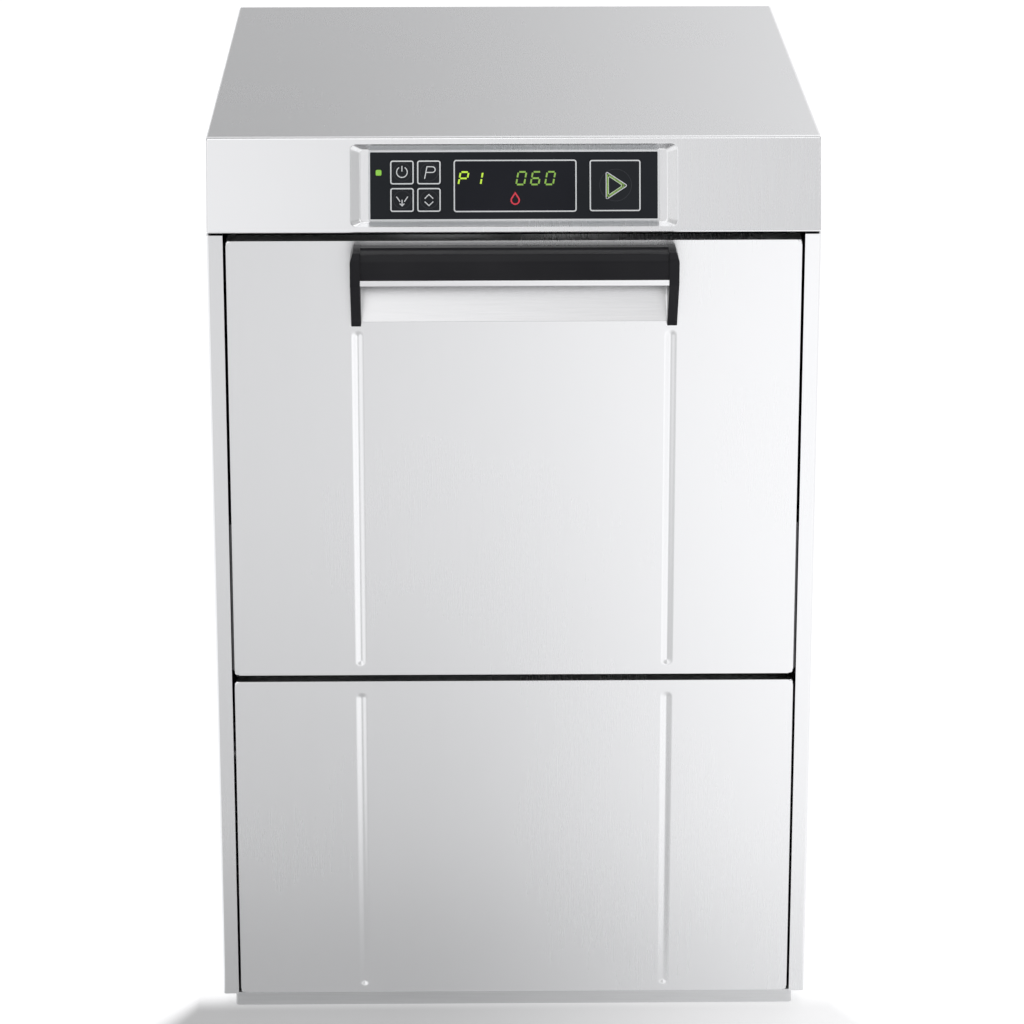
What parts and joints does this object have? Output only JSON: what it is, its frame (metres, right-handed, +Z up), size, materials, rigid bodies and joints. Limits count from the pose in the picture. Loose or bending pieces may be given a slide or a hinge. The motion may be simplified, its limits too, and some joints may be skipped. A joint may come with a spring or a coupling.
{
  "type": "undercounter commercial glasswasher",
  "caption": "Front-loading undercounter glasswasher with a drop-down door, sloping control fascia, rack, rotating wash and rinse arms, pump, tank and boiler.",
  "frame": {"origin": "centre of the overall footprint at floor level, the handle included", "axes": "+X to the right seen from the front, -Y out of the door, +Z up"},
  "size_m": [0.46, 0.565, 0.7],
  "materials": {
    "stainless": "fine brushed stainless steel",
    "stainless_dull": "plain mill-finish stainless steel",
    "aluminium": "satin anodised",
    "scoop_metal": "bright satin steel",
    "handle_black": "black, satin gloss",
    "panel_black": "black printed panel, semi-gloss",
    "key_black": "black printed keys, semi-gloss",
    "display_glass": "smoked clear window",
    "green_light": "green translucent lens",
    "board_green": "solder-masked circuit board",
    "black_plastic": "moulded black plastic",
    "white_plastic": "moulded white plastic",
    "arm_plastic": "moulded dark grey plastic",
    "rack_plastic": "moulded blue plastic",
    "foot_plastic": "moulded foot on a steel stud",
    "spring_steel": "bright steel",
    "rubber": "black rubber",
    "motor_paint": "dark grey paint"
  },
  "bodies": {
    "cabinet": {"base_tray": "stainless", "boiler": "stainless_dull", "cable_gland": "black_plastic", "control_board": "board_green", "control_panel": "panel_black", "display_window": "display_glass", "door_gasket": "rubber", "door_sensor": "black_plastic", "door_springs": "spring_steel", "drain_pump": "white_plastic", "drain_spout": "black_plastic", "fascia": "stainless", "heating_elements": "spring_steel", "hinge_brackets": "stainless_dull", "hoses": "rubber", "inlet_valve": "white_plastic", "lower_front_panel": "stainless", "overflow_pipe": "arm_plastic", "pump_volute": "black_plastic", "rack": "rack_plastic", "rack_rails": "stainless_dull", "rear_panel": "stainless_dull", "rear_screws": "spring_steel", "rinse_aid_doser": "white_plastic", "side_panel_left": "stainless", "side_panel_right": "stainless", "spindles": "stainless_dull", "status_light": "green_light", "suction_strainer": "stainless_dull", "supply_pipes": "rubber", "tank": "stainless_dull", "tank_filter": "stainless_dull", "top_panel": "stainless", "wash_pump_motor": "motor_paint", "wash_tub": "stainless_dull"},
    "door": {"door_outer_skin": "stainless", "door_inner_liner": "stainless_dull", "hinge_arms": "stainless_dull", "handle_caps": "handle_black", "handle_grip": "handle_black", "handle_lip": "aluminium", "handle_scoop": "scoop_metal", "handle_screws": "spring_steel", "door_magnet": "black_plastic"},
    "key_power": {"key_power": "key_black"},
    "key_program": {"key_program": "key_black"},
    "key_drain": {"key_drain": "key_black"},
    "key_select": {"key_select": "key_black"},
    "key_start": {"key_start": "key_black"},
    "lower_wash_arm": {"lower_wash_arm": "arm_plastic"},
    "lower_rinse_arm": {"lower_rinse_arm": "stainless_dull"},
    "upper_wash_arm": {"upper_wash_arm": "arm_plastic"},
    "upper_rinse_arm": {"upper_rinse_arm": "stainless_dull"},
    "pump_impeller": {"pump_impeller": "black_plastic"},
    "drain_impeller": {"drain_impeller": "black_plastic"},
    "doser_rotor": {"doser_rotor": "white_plastic"},
    "foot_front_left": {"foot_front_left": "foot_plastic"},
    "foot_front_right": {"foot_front_right": "foot_plastic"},
    "foot_rear_left": {"foot_rear_left": "foot_plastic"},
    "foot_rear_right": {"foot_rear_right": "foot_plastic"}
  },
  "joints": [
    {"name": "door_hinge", "type": "hinge", "parent": "cabinet", "child": "door", "pos_m": [0, -0.2385, 0.291], "axis": [1, 0, 0], "range_deg": [0, 90], "stiffness_Nm_per_rad": 4.5, "springref_deg": -14.32, "deforming": ["door_springs"]},
    {"name": "key_power_press", "type": "slide", "parent": "cabinet", "child": "key_power", "axis": [0, 0.9613, -0.2755], "range_m": [0, 0.0005], "stiffness_N_per_m": 300, "springref_m": -0.0006},
    {"name": "key_program_press", "type": "slide", "parent": "cabinet", "child": "key_program", "axis": [0, 0.9613, -0.2755], "range_m": [0, 0.0005], "stiffness_N_per_m": 300, "springref_m": -0.0006},
    {"name": "key_drain_press", "type": "slide", "parent": "cabinet", "child": "key_drain", "axis": [0, 0.9613, -0.2755], "range_m": [0, 0.0005], "stiffness_N_per_m": 300, "springref_m": -0.0006},
    {"name": "key_select_press", "type": "slide", "parent": "cabinet", "child": "key_select", "axis": [0, 0.9613, -0.2755], "range_m": [0, 0.0005], "stiffness_N_per_m": 300, "springref_m": -0.0006},
    {"name": "key_start_press", "type": "slide", "parent": "cabinet", "child": "key_start", "axis": [0, 0.9613, -0.2755], "range_m": [0, 0.0005], "stiffness_N_per_m": 300, "springref_m": -0.0006},
    {"name": "lower_wash_arm_spin", "type": "hinge", "parent": "cabinet", "child": "lower_wash_arm", "pos_m": [0, -0.0065, 0.28], "axis": [0, 0, 1], "continuous": true},
    {"name": "lower_rinse_arm_spin", "type": "hinge", "parent": "cabinet", "child": "lower_rinse_arm", "pos_m": [0, -0.0065, 0.28], "axis": [0, 0, 1], "continuous": true},
    {"name": "upper_wash_arm_spin", "type": "hinge", "parent": "cabinet", "child": "upper_wash_arm", "pos_m": [0, -0.0065, 0.6], "axis": [0, 0, 1], "continuous": true},
    {"name": "upper_rinse_arm_spin", "type": "hinge", "parent": "cabinet", "child": "upper_rinse_arm", "pos_m": [0, -0.0065, 0.6], "axis": [0, 0, 1], "continuous": true},
    {"name": "pump_impeller_spin", "type": "hinge", "parent": "cabinet", "child": "pump_impeller", "pos_m": [0, 0.15, 0.08], "axis": [1, 0, 0], "continuous": true},
    {"name": "drain_impeller_spin", "type": "hinge", "parent": "cabinet", "child": "drain_impeller", "pos_m": [0.135, 0.06, 0.06], "axis": [0, 1, 0], "continuous": true},
    {"name": "doser_rotor_spin", "type": "hinge", "parent": "cabinet", "child": "doser_rotor", "pos_m": [0.15, -0.19, 0.09], "axis": [0, 1, 0], "continuous": true},
    {"name": "foot_front_left_adjust", "type": "slide", "parent": "cabinet", "child": "foot_front_left", "axis": [0, 0, -1], "range_m": [0, 0.02]},
    {"name": "foot_front_right_adjust", "type": "slide", "parent": "cabinet", "child": "foot_front_right", "axis": [0, 0, -1], "range_m": [0, 0.02]},
    {"name": "foot_rear_left_adjust", "type": "slide", "parent": "cabinet", "child": "foot_rear_left", "axis": [0, 0, -1], "range_m": [0, 0.02]},
    {"name": "foot_rear_right_adjust", "type": "slide", "parent": "cabinet", "child": "foot_rear_right", "axis": [0, 0, -1], "range_m": [0, 0.02]}
  ]
}
